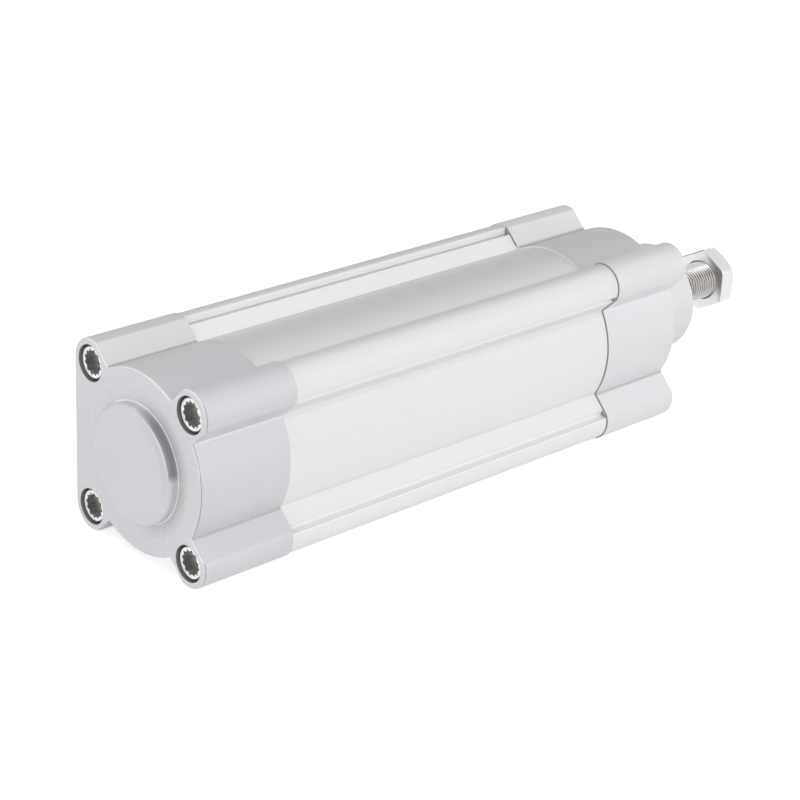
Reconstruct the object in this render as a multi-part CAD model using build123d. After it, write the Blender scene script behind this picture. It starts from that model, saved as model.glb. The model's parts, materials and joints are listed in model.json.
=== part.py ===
from build123d import *
from math import radians, sqrt, tan
import os

# Double-acting pneumatic cylinder with a profiled barrel and adjustable end cushioning.
# Millimetres. X runs along the axis towards the rod end, Z is up, and the ports face +Y.
# The origin is the middle of the rear mounting face. The rod is drawn fully in.

# Size class: bore 63, stroke 125, screws on a square of 56.5, caps 75 over the lobes
bore_d = 63.0
stroke = 125.0
screw_tuck = 6.5
cap_length = 40.0
centring_d = 45.0
spigot_length = 4.0
collar_length = 27.0
rod_d = 20.0
rod_projection = 37.0
rod_thread_d = 16.0
rod_thread_length = 32.0

# Outline of the caps and of the barrel
barrel_wall = 2.8
barrel_inset = 0.5
corner_wall = 2.35
lobe_side_wall = 1.6
lobe_fillet_r = 1.0
cap_edge_round = 0.6
spigot_edge_round = 1.7
collar_edge_chamfer = 1.0

# Sensor slots along the flanks of the lobes, measured outwards from the screw axis
slot_start = 1.0
slot_lean = 0.5
slot_floor = 1.7
slot_mouth = 3.9
slot_depth = 2.0

# Pilots of the caps in the bore
pilot_depth = 6.0
pilot_gap = 0.05
o_ring_section_d = 2.4
o_ring_groove_width = 3.0
o_ring_groove_from_end = 1.2

# Cover screws: long heads with a female thread, sunk in the corners of the caps
screw_head_d = 13.0
screw_head_length = 25.0
screw_head_sink = 1.2
screw_head_chamfer = 0.9
screw_hole_gap = 0.4
screw_socket_rim = 1.75
screw_socket_depth = 4.5
screw_bore_d = 6.8
screw_bore_depth = 17.0
screw_shank_d = 8.0
screw_grip = 20.0
screw_end_chamfer = 0.8
shank_hole_gap = 0.3
channel_gap = 0.05

# Ports and cushioning passages
port_d = 15.2
port_depth = 12.0
port_chamfer = 0.8
port_from_face = 17.0
port_passage_d = 9.0
needle_from_joint = 8.0
needle_offset_z = 9.0
needle_bore_d = 7.0
needle_seat_d = 2.0
bleed_d = 2.5
bleed_above_seat = 1.6

# Cushion chamber, its seal and the end buffer in each cap
chamber_gap = 2.0
chamber_floor = 9.0
cushion_seal_width = 4.0
cushion_seal_height = 4.5
cushion_lip_gap = 0.05
cushion_lip_height = 1.2
mouth_land = 1.0
mouth_gap = 0.6
buffer_wall = 1.5
buffer_width = 3.5
buffer_groove_depth = 1.6
buffer_proud = 0.4
buffer_gap = 0.05

# Cushion screws
needle_gap = 0.08
needle_head_sink = 0.8
needle_neck_d = 4.4
needle_collar_length = 2.0
needle_tip_length = 4.6
needle_ring_section_d = 1.2
needle_ring_groove_width = 1.6
needle_tip_d = 3.4
needle_tip_cone = 2.0
needle_point_d = 1.0
needle_tip_lift = 0.4
needle_slot_width = 1.0
needle_slot_depth = 1.3

# Piston
piston_gap = 0.4
piston_edge = 0.8
piston_land = 1.9
end_gap = 0.5
seal_from_face = 2.5
seal_groove_width = 5.0
seal_groove_depth = 4.6
seal_side_gap = 0.15
seal_floor_gap = 0.1
lip_thickness = 1.5
lip_notch_depth = 2.8
guide_width = 9.0
guide_thickness = 2.6
guide_split = 1.5
running_gap = 0.05
magnet_width = 5.0
magnet_thickness = 4.0
magnet_gap = 0.1

# Cushion sleeves, piston stud and piston nut
sleeve_wall = 2.0
sleeve_length = 20.0
sleeve_chamfer = 1.0
sleeve_web = 10.0
stud_step = 4.0
stud_gap = 0.05
rod_seat = 11.5
rod_ring_section_d = 2.0
rod_ring_groove_width = 2.6
piston_nut_wall = 3.0
piston_nut_height = 8.0
piston_nut_countersink = 0.4
nut_pocket_gap = 0.6
stud_past_nut = 1.0

# Flush flanges and stems of the rod gland and of the centring plug, which close the caps
flange_width = 1.5
flange_thickness = 1.5
stem_shoulder = 2.0
stem_gap = 0.03
stem_end_gap = 0.1
stem_ring_section_d = 2.0
stem_ring_groove_width = 2.6

# Rod guide in the gland
bush_wall = 1.5
rod_clearance = 0.6
bush_to_seal = 2.5
rod_seal_width = 6.0
rod_seal_height = 4.0
rod_seal_to_wiper = 2.5
wiper_pocket_depth = 6.0
wiper_sink = 0.4
wiper_lip = 1.0

# Rod end
flat_cut = 1.5
flats_past_collar = 2.0
thread_relief_length = 2.5
thread_relief_cut = 1.0
thread_chamfer = 1.0
stud_chamfer = 0.6
rod_nut_flats = 24.0
rod_nut_height = 8.0
rod_nut_from_end = 3.6
nut_thread_gap = 0.05
nut_countersink = 0.6
nut_chamfer_angle = 30.0
nut_face_share = 0.96

# Radii that several pieces share
bore_r = bore_d / 2
rod_r = rod_d / 2
pilot_r = bore_r - pilot_gap
piston_r = bore_r - piston_gap
stud_r = rod_r - stud_step
stud_hole_r = stud_r + stud_gap
head_hole_r = screw_head_d / 2 + screw_hole_gap
bulge_r = bore_r + barrel_wall + barrel_inset
lobe_round_r = head_hole_r + corner_wall
lobe_half_width = head_hole_r + lobe_side_wall
piston_nut_flats = 2 * (stud_r + piston_nut_wall)
nut_pocket_r = piston_nut_flats / sqrt(3) + nut_pocket_gap
sleeve_r = nut_pocket_r + sleeve_wall
chamber_r = sleeve_r + chamber_gap
centring_r = centring_d / 2
flange_r = centring_r + flange_width
stem_r = chamber_r + stem_shoulder
cushion_seal_r = sleeve_r + cushion_seal_height
buffer_inner_r = cushion_seal_r + buffer_wall
buffer_outer_r = buffer_inner_r + buffer_width
rod_seal_r = rod_r + rod_seal_height

# Rings of the piston
ring_r = bore_r - running_gap
guide_inner_r = ring_r - guide_thickness
magnet_outer_r = guide_inner_r - seal_floor_gap - magnet_gap
seal_groove_r = piston_r - seal_groove_depth

# Places along the axis
half_guide_seat = guide_width / 2 + magnet_gap
piston_length = 2 * (seal_from_face + seal_groove_width + piston_land + half_guide_seat)
inner_length = stroke + piston_length + 2 * end_gap
barrel_length = inner_length + 2 * pilot_depth
body_length = barrel_length + 2 * cap_length
rear_pilot_x = cap_length + pilot_depth
cushion_seal_x = rear_pilot_x - mouth_land - cushion_seal_width
piston_x = rear_pilot_x + end_gap
piston_middle_x = piston_x + piston_length / 2
piston_front_x = piston_x + piston_length
rod_ring_x = (piston_middle_x + piston_front_x) / 2
stem_ring_x = (flange_thickness + chamber_floor) / 2
head_seat_x = screw_head_sink + screw_head_length
rod_shoulder_x = body_length + rod_projection
rod_end_x = rod_shoulder_x + rod_thread_length
rod_nut_x = rod_end_x - rod_nut_from_end - rod_nut_height

# Places of the rod guide's pieces, outwards from the front mounting face
wiper_in = collar_length - wiper_pocket_depth
rod_seal_in = wiper_in - rod_seal_to_wiper - rod_seal_width
bush_out = rod_seal_in - bush_to_seal
stem_end = stem_end_gap - chamber_floor

# Places across the axis
screw_spacing = bore_d - screw_tuck
screw_reach = screw_spacing / sqrt(2)
screw_places = [(y * screw_spacing / 2, z * screw_spacing / 2) for y in (-1, 1) for z in (-1, 1)]
port_face_y = screw_spacing / 2 + lobe_round_r
barrel_ring_inner_r = pilot_r - o_ring_section_d
bleed_reach = (buffer_outer_r + barrel_ring_inner_r) / 2
bleed_y = sqrt(bleed_reach ** 2 - needle_offset_z ** 2)
needle_x = cap_length - needle_from_joint
needle_seat_y = bleed_y - bleed_above_seat

# Places along a cushion screw, from its seat outwards
needle_top = port_face_y - needle_head_sink - needle_seat_y
needle_groove = needle_tip_length + needle_collar_length
needle_ring_at = needle_groove + needle_ring_groove_width / 2


def turned(*points):
    """A solid turned about the X axis from (x, radius) points."""
    return revolve(make_face(Polyline(*points, close=True)), Axis.X)


def tube(x_from, x_to, inner_r, outer_r):
    """A plain ring about the X axis."""
    return turned((x_from, inner_r), (x_from, outer_r), (x_to, outer_r), (x_to, inner_r))


def o_ring(x, inner_r, section_d):
    """An O-ring about the X axis."""
    return Pos(x, 0, 0) * Rot(0, 90, 0) * Torus(inner_r + section_d / 2, section_d / 2)


def across(x, z, y_from, y_to, radius):
    """A round bar along Y, for ports and passages."""
    return Pos(x, (y_from + y_to) / 2, z) * Rot(90, 0, 0) * Cylinder(radius, y_to - y_from)


def to_front(shape):
    """The same piece at the other end of the cylinder."""
    return mirror(shape, Plane.YZ.offset(body_length / 2))


def at_screws(shape):
    """Four copies of a piece, one on each screw axis."""
    return [Pos(0, y, z) * shape for y, z in screw_places]


def lobe(inset):
    """One corner finger along +X of the sketch, with a flatter round about the screw."""
    half_width = lobe_half_width - inset
    round_r = lobe_round_r - inset
    stem = Pos(screw_reach / 2, 0) * Rectangle(screw_reach, 2 * half_width)
    tip_strip = Pos(screw_reach + round_r / 2, 0) * Rectangle(round_r, 2 * half_width)
    return stem + (tip_strip & Pos(screw_reach, 0) * Circle(round_r))


def body_outline(inset, port_block):
    """The round middle with four corner fingers, flat on the port side where asked."""
    middle_r = bulge_r - inset
    outline = Sketch() + Circle(middle_r)
    for quarter in range(4):
        outline += Rot(0, 0, 45 + 90 * quarter) * lobe(inset)
    if port_block:
        outline += Pos(port_face_y / 2, 0) * Rectangle(port_face_y, screw_spacing)
    inner_corners = [
        v for v in outline.vertices()
        if abs(sqrt(v.X ** 2 + v.Y ** 2) - middle_r) < 0.01 and min(abs(v.X), abs(v.Y)) > 1
    ]
    return fillet(inner_corners, lobe_fillet_r)


def sensor_slot():
    """The section of one sensor slot, on the upper flank of a finger along +X."""
    flank = lobe_half_width - barrel_inset
    start = screw_reach + slot_start
    floor_end = start + slot_lean + slot_floor
    slope = (slot_mouth - slot_lean - slot_floor) / slot_depth
    return make_face(Polyline(
        (start, flank + slot_depth),
        (start, flank),
        (start + slot_lean, flank - slot_depth),
        (floor_end, flank - slot_depth),
        (floor_end + 2 * slope * slot_depth, flank + slot_depth),
        close=True,
    ))


def barrel():
    outline = body_outline(barrel_inset, False)
    outline -= Circle(bore_r)
    for quarter in range(4):
        turn = Rot(0, 0, 45 + 90 * quarter)
        outline -= turn * sensor_slot()
        outline -= turn * mirror(sensor_slot(), Plane.XZ)
        outline -= turn * Pos(screw_reach, 0) * Circle(screw_shank_d / 2 + channel_gap)
    return Pos(cap_length, 0, 0) * extrude(Plane.YZ * outline, barrel_length)


def cap_body():
    """An end cap as it stands at the rear, open in the middle for its plug or gland."""
    cap = extrude(Plane.YZ * body_outline(0, True), cap_length)
    cap = fillet(cap.edges().filter_by_position(Axis.X, -0.01, 0.01), cap_edge_round)
    cap += tube(cap_length, rear_pilot_x, 0, pilot_r)

    ring_x = rear_pilot_x - o_ring_groove_from_end - o_ring_groove_width
    cap -= tube(ring_x, ring_x + o_ring_groove_width, barrel_ring_inner_r, bore_r + 1)

    mouth_r = sleeve_r + mouth_gap
    cap -= turned(
        (-1, 0),
        (-1, flange_r + stem_gap),
        (flange_thickness, flange_r + stem_gap),
        (flange_thickness, stem_r + stem_gap),
        (chamber_floor, stem_r + stem_gap),
        (chamber_floor, chamber_r),
        (cushion_seal_x, chamber_r),
        (cushion_seal_x, cushion_seal_r),
        (cushion_seal_x + cushion_seal_width, cushion_seal_r),
        (cushion_seal_x + cushion_seal_width, mouth_r),
        (rear_pilot_x + 1, mouth_r),
        (rear_pilot_x + 1, 0),
    )
    cap -= tube(rear_pilot_x - buffer_groove_depth, rear_pilot_x + 1,
                buffer_inner_r, buffer_outer_r)

    head_hole = tube(-1, head_seat_x, 0, head_hole_r)
    shank_hole = tube(head_seat_x - 1, cap_length + 1, 0, screw_shank_d / 2 + shank_hole_gap)
    for hole in at_screws(head_hole + shank_hole):
        cap -= hole

    port_floor_y = port_face_y - port_depth
    cap -= across(port_from_face, 0, port_floor_y, port_face_y + 1, port_d / 2)
    cap -= across(port_from_face, 0, 0, port_floor_y + 1, port_passage_d / 2)
    cap -= (Pos(port_from_face, port_face_y - port_chamfer / 2, 0) * Rot(-90, 0, 0)
            * Cone(port_d / 2, port_d / 2 + port_chamfer, port_chamfer))

    cap -= across(needle_x, needle_offset_z, needle_seat_y, port_face_y + 1, needle_bore_d / 2)
    cap -= across(needle_x, needle_offset_z, 0, needle_seat_y + 1, needle_seat_d / 2)
    cap -= Pos(0, bleed_y, needle_offset_z) * tube(needle_x, rear_pilot_x + 1, 0, bleed_d / 2)
    return cap


def stem_ring_groove():
    """The cut for the O-ring of a stem, as it stands at the rear."""
    return tube(stem_ring_x - stem_ring_groove_width / 2,
                stem_ring_x + stem_ring_groove_width / 2,
                stem_r - stem_ring_section_d, stem_r + 1)


def rear_centring_plug():
    """The rounded centring spigot, whose stem closes the rear cushion chamber."""
    plug = turned(
        (-spigot_length, 0),
        (-spigot_length, centring_r),
        (0, centring_r),
        (0, flange_r),
        (flange_thickness, flange_r),
        (flange_thickness, stem_r),
        (-stem_end, stem_r),
        (-stem_end, 0),
    )
    plug = fillet(plug.edges().sort_by(Axis.X)[0], spigot_edge_round)
    return plug - stem_ring_groove()


def rod_gland():
    """The long collar, bored for the bush, the rod seal and the wiper."""
    bush_seat_r = rod_r + running_gap + bush_wall
    way_r = rod_r + rod_clearance
    gland = turned(
        (stem_end, bush_seat_r),
        (stem_end, stem_r),
        (-flange_thickness, stem_r),
        (-flange_thickness, flange_r),
        (0, flange_r),
        (0, centring_r),
        (collar_length - collar_edge_chamfer, centring_r),
        (collar_length, centring_r - collar_edge_chamfer),
        (collar_length, rod_seal_r),
        (wiper_in, rod_seal_r),
        (wiper_in, way_r),
        (rod_seal_in + rod_seal_width, way_r),
        (rod_seal_in + rod_seal_width, rod_seal_r),
        (rod_seal_in, rod_seal_r),
        (rod_seal_in, way_r),
        (bush_out, way_r),
        (bush_out, bush_seat_r),
    )
    return Pos(body_length, 0, 0) * gland - to_front(stem_ring_groove())


def cover_screws():
    """The four screws that hold one cap, each with a socket and a female thread in its head."""
    head_r = screw_head_d / 2
    socket_r = head_r - screw_socket_rim
    shank_r = screw_shank_d / 2
    bore_x = screw_head_sink + screw_socket_depth
    end_x = cap_length + screw_grip
    screw = turned(
        (screw_head_sink, socket_r),
        (screw_head_sink, head_r - screw_head_chamfer),
        (screw_head_sink + screw_head_chamfer, head_r),
        (head_seat_x, head_r),
        (head_seat_x, shank_r),
        (end_x - screw_end_chamfer, shank_r),
        (end_x, shank_r - screw_end_chamfer),
        (end_x, 0),
        (bore_x + screw_bore_depth, 0),
        (bore_x + screw_bore_depth, screw_bore_d / 2),
        (bore_x, screw_bore_d / 2),
        (bore_x, socket_r),
    )
    return Compound(at_screws(screw))


def barrel_o_ring():
    ring_x = rear_pilot_x - o_ring_groove_from_end - o_ring_groove_width / 2
    return o_ring(ring_x, barrel_ring_inner_r + pilot_gap / 2, o_ring_section_d)


def stem_o_ring():
    return o_ring(stem_ring_x, stem_r - stem_ring_section_d + stem_gap / 2, stem_ring_section_d)


def cushion_seal():
    """The lip ring that closes round the cushion sleeve."""
    lip_r = sleeve_r + cushion_lip_gap
    outer_r = cushion_seal_r - cushion_lip_gap
    clear_r = lip_r + cushion_lip_height
    front_x = cushion_seal_x + seal_side_gap
    back_x = cushion_seal_x + cushion_seal_width - seal_side_gap
    lip_x = front_x + cushion_lip_height
    return turned(
        (front_x, outer_r),
        (front_x, clear_r),
        (lip_x, lip_r),
        (lip_x + cushion_lip_height, lip_r),
        (back_x, clear_r),
        (back_x, outer_r),
    )


def end_buffer():
    """The elastic ring that the piston meets at the end of its stroke."""
    floor_x = rear_pilot_x - buffer_groove_depth
    top_x = rear_pilot_x + buffer_proud
    inner_r = buffer_inner_r + buffer_gap
    outer_r = buffer_outer_r - buffer_gap
    return turned(
        (floor_x, inner_r),
        (floor_x, outer_r),
        (rear_pilot_x, outer_r),
        (top_x, outer_r - buffer_proud),
        (top_x, inner_r + buffer_proud),
        (rear_pilot_x, inner_r),
    )


def at_needle(shape):
    """Turns a piece drawn along X so that it stands in the needle bore, its top outwards."""
    return Pos(needle_x, needle_seat_y, needle_offset_z) * Rot(0, 0, 90) * shape


def cushion_screw():
    """A slotted needle screw that sets how fast the cushion chamber empties."""
    body_r = needle_bore_d / 2 - needle_gap
    neck_r = needle_neck_d / 2
    tip_r = needle_tip_d / 2
    groove_end = needle_groove + needle_ring_groove_width
    screw = turned(
        (needle_tip_lift, 0),
        (needle_tip_lift, needle_point_d / 2),
        (needle_tip_lift + needle_tip_cone, tip_r),
        (needle_tip_length, tip_r),
        (needle_tip_length, body_r),
        (needle_groove, body_r),
        (needle_groove, neck_r),
        (groove_end, neck_r),
        (groove_end, body_r),
        (needle_top, body_r),
        (needle_top, 0),
    )
    slot = Pos(needle_top, 0, 0) * Box(2 * needle_slot_depth, needle_bore_d, needle_slot_width)
    return at_needle(screw - slot)


def cushion_screw_o_ring():
    return at_needle(o_ring(needle_ring_at, needle_neck_d / 2, needle_ring_section_d))


def piston_half():
    """The rear half of the piston, with its seal groove and half of the guide ring's seat."""
    groove_x = piston_x + seal_from_face
    guide_seat_r = guide_inner_r - seal_floor_gap
    magnet_seat_r = magnet_outer_r - magnet_thickness - magnet_gap
    guide_x = piston_middle_x - half_guide_seat
    magnet_x = piston_middle_x - magnet_width / 2 - magnet_gap
    return turned(
        (piston_x, stud_hole_r),
        (piston_x, piston_r - piston_edge),
        (piston_x + piston_edge, piston_r),
        (groove_x, piston_r),
        (groove_x, seal_groove_r),
        (groove_x + seal_groove_width, seal_groove_r),
        (groove_x + seal_groove_width, piston_r),
        (guide_x, piston_r),
        (guide_x, guide_seat_r),
        (magnet_x, guide_seat_r),
        (magnet_x, magnet_seat_r),
        (piston_middle_x, magnet_seat_r),
        (piston_middle_x, stud_hole_r),
    )


def piston_front_half():
    """The front half, which also holds the O-ring round the stud."""
    groove_r = stud_hole_r + rod_ring_section_d + stud_gap
    half = mirror(piston_half(), Plane.YZ.offset(piston_middle_x))
    return half - tube(rod_ring_x - rod_ring_groove_width / 2,
                       rod_ring_x + rod_ring_groove_width / 2, 0, groove_r)


def piston_seal():
    """A lip seal that opens towards the rear chamber."""
    inner_r = seal_groove_r + seal_floor_gap
    front_x = piston_x + seal_from_face + seal_side_gap
    back_x = front_x + seal_groove_width - 2 * seal_side_gap
    return turned(
        (front_x, inner_r),
        (front_x, inner_r + lip_thickness / 2),
        (front_x + lip_notch_depth, (inner_r + ring_r) / 2),
        (front_x, ring_r - lip_thickness / 2),
        (front_x, ring_r),
        (front_x + lip_thickness / 2, ring_r),
        (back_x, ring_r - lip_thickness / 2),
        (back_x, inner_r),
    )


def piston_guide_ring():
    """A split strip that keeps the piston off the bore."""
    ring = tube(piston_middle_x - guide_width / 2, piston_middle_x + guide_width / 2,
                guide_inner_r, ring_r)
    split = Pos(piston_middle_x, 0, ring_r) * Box(2 * guide_width, guide_split, 4 * guide_thickness)
    return ring - split


def piston_magnet():
    return tube(piston_middle_x - magnet_width / 2, piston_middle_x + magnet_width / 2,
                magnet_outer_r - magnet_thickness, magnet_outer_r)


def rear_cushion_sleeve():
    """The sleeve clamped by the piston nut, which stands inside it."""
    tip_x = piston_x - sleeve_length
    web_x = piston_x - sleeve_web
    return turned(
        (tip_x, nut_pocket_r),
        (tip_x, sleeve_r - sleeve_chamfer),
        (tip_x + sleeve_chamfer, sleeve_r),
        (piston_x, sleeve_r),
        (piston_x, stud_hole_r),
        (web_x, stud_hole_r),
        (web_x, nut_pocket_r),
    )


def front_cushion_sleeve():
    """The sleeve that the rod's shoulder presses against the piston."""
    tip_x = piston_front_x + sleeve_length
    seat_x = piston_front_x + rod_seat
    return turned(
        (piston_front_x, stud_hole_r),
        (piston_front_x, sleeve_r),
        (tip_x - sleeve_chamfer, sleeve_r),
        (tip_x, sleeve_r - sleeve_chamfer),
        (tip_x, rod_r + stud_gap),
        (seat_x, rod_r + stud_gap),
        (seat_x, stud_hole_r),
    )


def hex_nut(x_from, height, across_flats, hole_r, countersink):
    """A hexagon nut with turned chamfers on both faces, one corner upwards."""
    corner_r = across_flats / sqrt(3)
    face_r = across_flats / 2 * nut_face_share
    drop = (corner_r - face_r) * tan(radians(nut_chamfer_angle))
    x_to = x_from + height
    blank = extrude(Plane.YZ * RegularPolygon(across_flats / 2, 6, major_radius=False, rotation=30),
                    height)
    dressing = turned(
        (x_from, hole_r + countersink),
        (x_from, face_r),
        (x_from + drop, corner_r),
        (x_to - drop, corner_r),
        (x_to, face_r),
        (x_to, hole_r + countersink),
        (x_to - countersink, hole_r),
        (x_from + countersink, hole_r),
    )
    return Pos(x_from, 0, 0) * blank & dressing


def piston_nut():
    nut_x = piston_x - sleeve_web - piston_nut_height
    return hex_nut(nut_x, piston_nut_height, piston_nut_flats, stud_hole_r,
                   piston_nut_countersink)


def rod_nut():
    return hex_nut(rod_nut_x, rod_nut_height, rod_nut_flats,
                   rod_thread_d / 2 + nut_thread_gap, nut_countersink)


def piston_rod():
    """The rod with its piston stud, wrench flats and threaded end."""
    thread_r = rod_thread_d / 2
    relief_r = thread_r - thread_relief_cut
    stud_x = piston_x - sleeve_web - piston_nut_height - stud_past_nut
    seat_x = piston_front_x + rod_seat
    relief_x = rod_shoulder_x + thread_relief_length
    rod = turned(
        (stud_x, 0),
        (stud_x, stud_r - stud_chamfer),
        (stud_x + stud_chamfer, stud_r),
        (seat_x, stud_r),
        (seat_x, rod_r),
        (rod_shoulder_x, rod_r),
        (rod_shoulder_x, relief_r),
        (relief_x, relief_r),
        (relief_x + thread_relief_cut, thread_r),
        (rod_end_x - thread_chamfer, thread_r),
        (rod_end_x, thread_r - thread_chamfer),
        (rod_end_x, 0),
    )
    flats_x = body_length + collar_length + flats_past_collar
    flats_length = rod_shoulder_x - flats_x
    for side in (-1, 1):
        cut = Box(flats_length, rod_r, rod_d)
        rod -= Pos(flats_x + flats_length / 2, side * (1.5 * rod_r - flat_cut), 0) * cut
    return rod


def rod_bearing_bush():
    inner_r = rod_r + running_gap
    return tube(body_length + stem_end, body_length + bush_out, inner_r, inner_r + bush_wall)


def rod_seal():
    """A lip seal round the rod that opens towards the pressure."""
    inner_r = rod_r + running_gap
    outer_r = rod_seal_r - seal_floor_gap
    front_x = body_length + rod_seal_in + seal_side_gap
    back_x = front_x + rod_seal_width - 2 * seal_side_gap
    return turned(
        (front_x, inner_r),
        (front_x, inner_r + lip_thickness / 2),
        (front_x + lip_notch_depth, (inner_r + outer_r) / 2),
        (front_x, outer_r - lip_thickness / 2),
        (front_x, outer_r),
        (back_x, outer_r),
        (back_x, inner_r + lip_thickness / 2),
        (front_x + lip_thickness, inner_r),
    )


def rod_wiper():
    """The wiper in the mouth of the collar, with one lip outwards."""
    outer_r = rod_seal_r - seal_floor_gap
    lip_r = rod_r + running_gap
    in_x = body_length + wiper_in
    out_x = body_length + collar_length - wiper_sink
    return turned(
        (in_x, lip_r + wiper_lip),
        (in_x, outer_r),
        (out_x, outer_r),
        (out_x, outer_r - wiper_lip),
        (out_x - 2 * wiper_lip, (lip_r + outer_r) / 2 + wiper_lip / 2),
        (out_x, lip_r + wiper_lip / 2),
        (out_x, lip_r),
        (out_x - wiper_lip, lip_r),
    )


pieces = {
    "barrel": barrel(),
    "rear_cap": cap_body(),
    "front_cap": to_front(cap_body()),
    "rear_centring_plug": rear_centring_plug(),
    "rod_gland": rod_gland(),
    "rear_cap_screws": cover_screws(),
    "front_cap_screws": to_front(cover_screws()),
    "rear_barrel_o_ring": barrel_o_ring(),
    "front_barrel_o_ring": to_front(barrel_o_ring()),
    "rear_plug_o_ring": stem_o_ring(),
    "rod_gland_o_ring": to_front(stem_o_ring()),
    "rear_cushion_seal": cushion_seal(),
    "front_cushion_seal": to_front(cushion_seal()),
    "rear_end_buffer": end_buffer(),
    "front_end_buffer": to_front(end_buffer()),
    "rear_cushion_screw": cushion_screw(),
    "front_cushion_screw": to_front(cushion_screw()),
    "rear_cushion_screw_o_ring": cushion_screw_o_ring(),
    "front_cushion_screw_o_ring": to_front(cushion_screw_o_ring()),
    "rod_bearing_bush": rod_bearing_bush(),
    "rod_seal": rod_seal(),
    "rod_wiper": rod_wiper(),
    "piston_rod": piston_rod(),
    "rear_piston_half": piston_half(),
    "front_piston_half": piston_front_half(),
    "piston_magnet": piston_magnet(),
    "piston_guide_ring": piston_guide_ring(),
    "rear_piston_seal": piston_seal(),
    "front_piston_seal": mirror(piston_seal(), Plane.YZ.offset(piston_middle_x)),
    "rod_o_ring": o_ring(rod_ring_x, stud_hole_r, rod_ring_section_d),
    "rear_cushion_sleeve": rear_cushion_sleeve(),
    "front_cushion_sleeve": front_cushion_sleeve(),
    "piston_nut": piston_nut(),
    "rod_nut": rod_nut(),
}

os.makedirs("parts", exist_ok=True)
for name, shape in pieces.items():
    export_step(shape, f"parts/{name}.step")
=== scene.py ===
import json
from math import asin, atan2, cos, pi, radians, sin, sqrt, tan

import bmesh
import bpy
from mathutils import Matrix, Vector
from mathutils.geometry import tessellate_polygon


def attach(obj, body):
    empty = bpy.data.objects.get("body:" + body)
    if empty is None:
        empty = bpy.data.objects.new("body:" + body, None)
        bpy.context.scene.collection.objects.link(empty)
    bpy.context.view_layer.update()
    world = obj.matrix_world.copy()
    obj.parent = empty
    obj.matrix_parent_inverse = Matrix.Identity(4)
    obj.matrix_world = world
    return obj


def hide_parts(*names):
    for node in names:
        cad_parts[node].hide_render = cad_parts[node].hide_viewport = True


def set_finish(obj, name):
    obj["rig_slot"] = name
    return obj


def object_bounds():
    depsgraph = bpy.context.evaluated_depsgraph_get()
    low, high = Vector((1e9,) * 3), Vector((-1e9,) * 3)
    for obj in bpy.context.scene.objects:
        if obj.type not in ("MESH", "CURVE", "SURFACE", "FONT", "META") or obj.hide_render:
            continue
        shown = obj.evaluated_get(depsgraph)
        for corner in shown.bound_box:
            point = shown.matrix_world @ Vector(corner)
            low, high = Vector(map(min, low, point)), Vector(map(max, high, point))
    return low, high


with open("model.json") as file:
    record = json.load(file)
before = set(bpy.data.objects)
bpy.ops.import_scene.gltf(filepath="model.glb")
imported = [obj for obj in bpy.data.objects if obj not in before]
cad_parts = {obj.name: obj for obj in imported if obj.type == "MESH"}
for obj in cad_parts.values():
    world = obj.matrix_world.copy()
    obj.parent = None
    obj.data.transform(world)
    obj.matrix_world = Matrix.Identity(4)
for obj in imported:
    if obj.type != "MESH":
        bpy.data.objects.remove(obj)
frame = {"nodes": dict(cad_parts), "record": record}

cad_box = [list(corner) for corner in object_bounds()]

# All sizes of the pieces are in millimetres, as on the drawing.
MM = 0.001
TURN = 2 * pi

# Places along the cylinder's axis, from the rear mounting face
REAR_JOINT = 40.0
FRONT_JOINT = 206.0
BODY_LENGTH = 246.0
ROD_SHOULDER = 283.0
ROD_END = 315.0

# Screw axes
SCREW_AXIS = 28.25
SCREW_PLACES = [(y * SCREW_AXIS, z * SCREW_AXIS) for y in (-1, 1) for z in (-1, 1)]

# Section of the barrel; the slots are measured outwards from the screw axis
BORE_R = 31.5
BULGE_R = 34.3
SCREW_REACH = SCREW_AXIS * sqrt(2)
LOBE_HALF = 8.0
LOBE_ROUND_R = 8.75
LOBE_FILLET_R = 1.0
SLOT_START = 1.0
SLOT_LEAN = 0.5
SLOT_FLOOR = 0.9
SLOT_MOUTH = 3.9
SLOT_DEPTH = 2.0
SLOT_LEVEL = LOBE_HALF - SLOT_DEPTH
CHANNEL_R = 4.05

# Cover screws and threads
SCREW_HEAD_R = 6.5
SCREW_BORE_R = 4.05
TIP = 0.01  # radius at which a closed end meets its axis
WELD = 1e-4  # points closer than this are one point

# Caps
CAP_LOBE_HALF = 8.5
SPIGOT_R = 22.5
HEAD_HOLE_R = 6.9

# Rod and nut
ROD_R = 10.0
ROD_FLAT = 8.5
NUT_FLATS = 24.0

# Finishes
FACE_REACH = 0.02  # a face takes in what is this near to its mark
MARK_DEPTH = 0.000006  # depth of turning marks in metres
# tones of the caps' metal for painted light and shade: lighter where light falls strongly, darker
# where it falls weakly
LIT_CASTING = (0.80, 0.796, 0.815)
SHADED_CASTING = (0.60, 0.595, 0.62)
WHITE = (1, 1, 1, 1)


# ---- meshes


def ring(x, radius, steps=96):
    """Points about the axis; the radius is a number or a function of the angle."""
    points = []
    for i in range(steps):
        angle = TURN * i / steps
        r = radius(angle) if callable(radius) else radius
        points.append((x, r * cos(angle), r * sin(angle)))
    return points


def skin(mesh, rings, closed=False):
    """Skins rings of equally many points with quads."""
    rows = [[mesh.verts.new(Vector(p)) for p in points] for points in rings]
    pairs = list(zip(rows, rows[1:]))
    if closed:
        pairs.append((rows[-1], rows[0]))
    for row, after in pairs:
        for i, corner in enumerate(row):
            k = (i + 1) % len(row)
            mesh.faces.new((corner, row[k], after[k], after[i]))


def turned(points, steps=96):
    """Rings through (place, radius) pairs, as a lathe would follow them."""
    return [ring(x, radius, steps) for x, radius in points]


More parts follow.
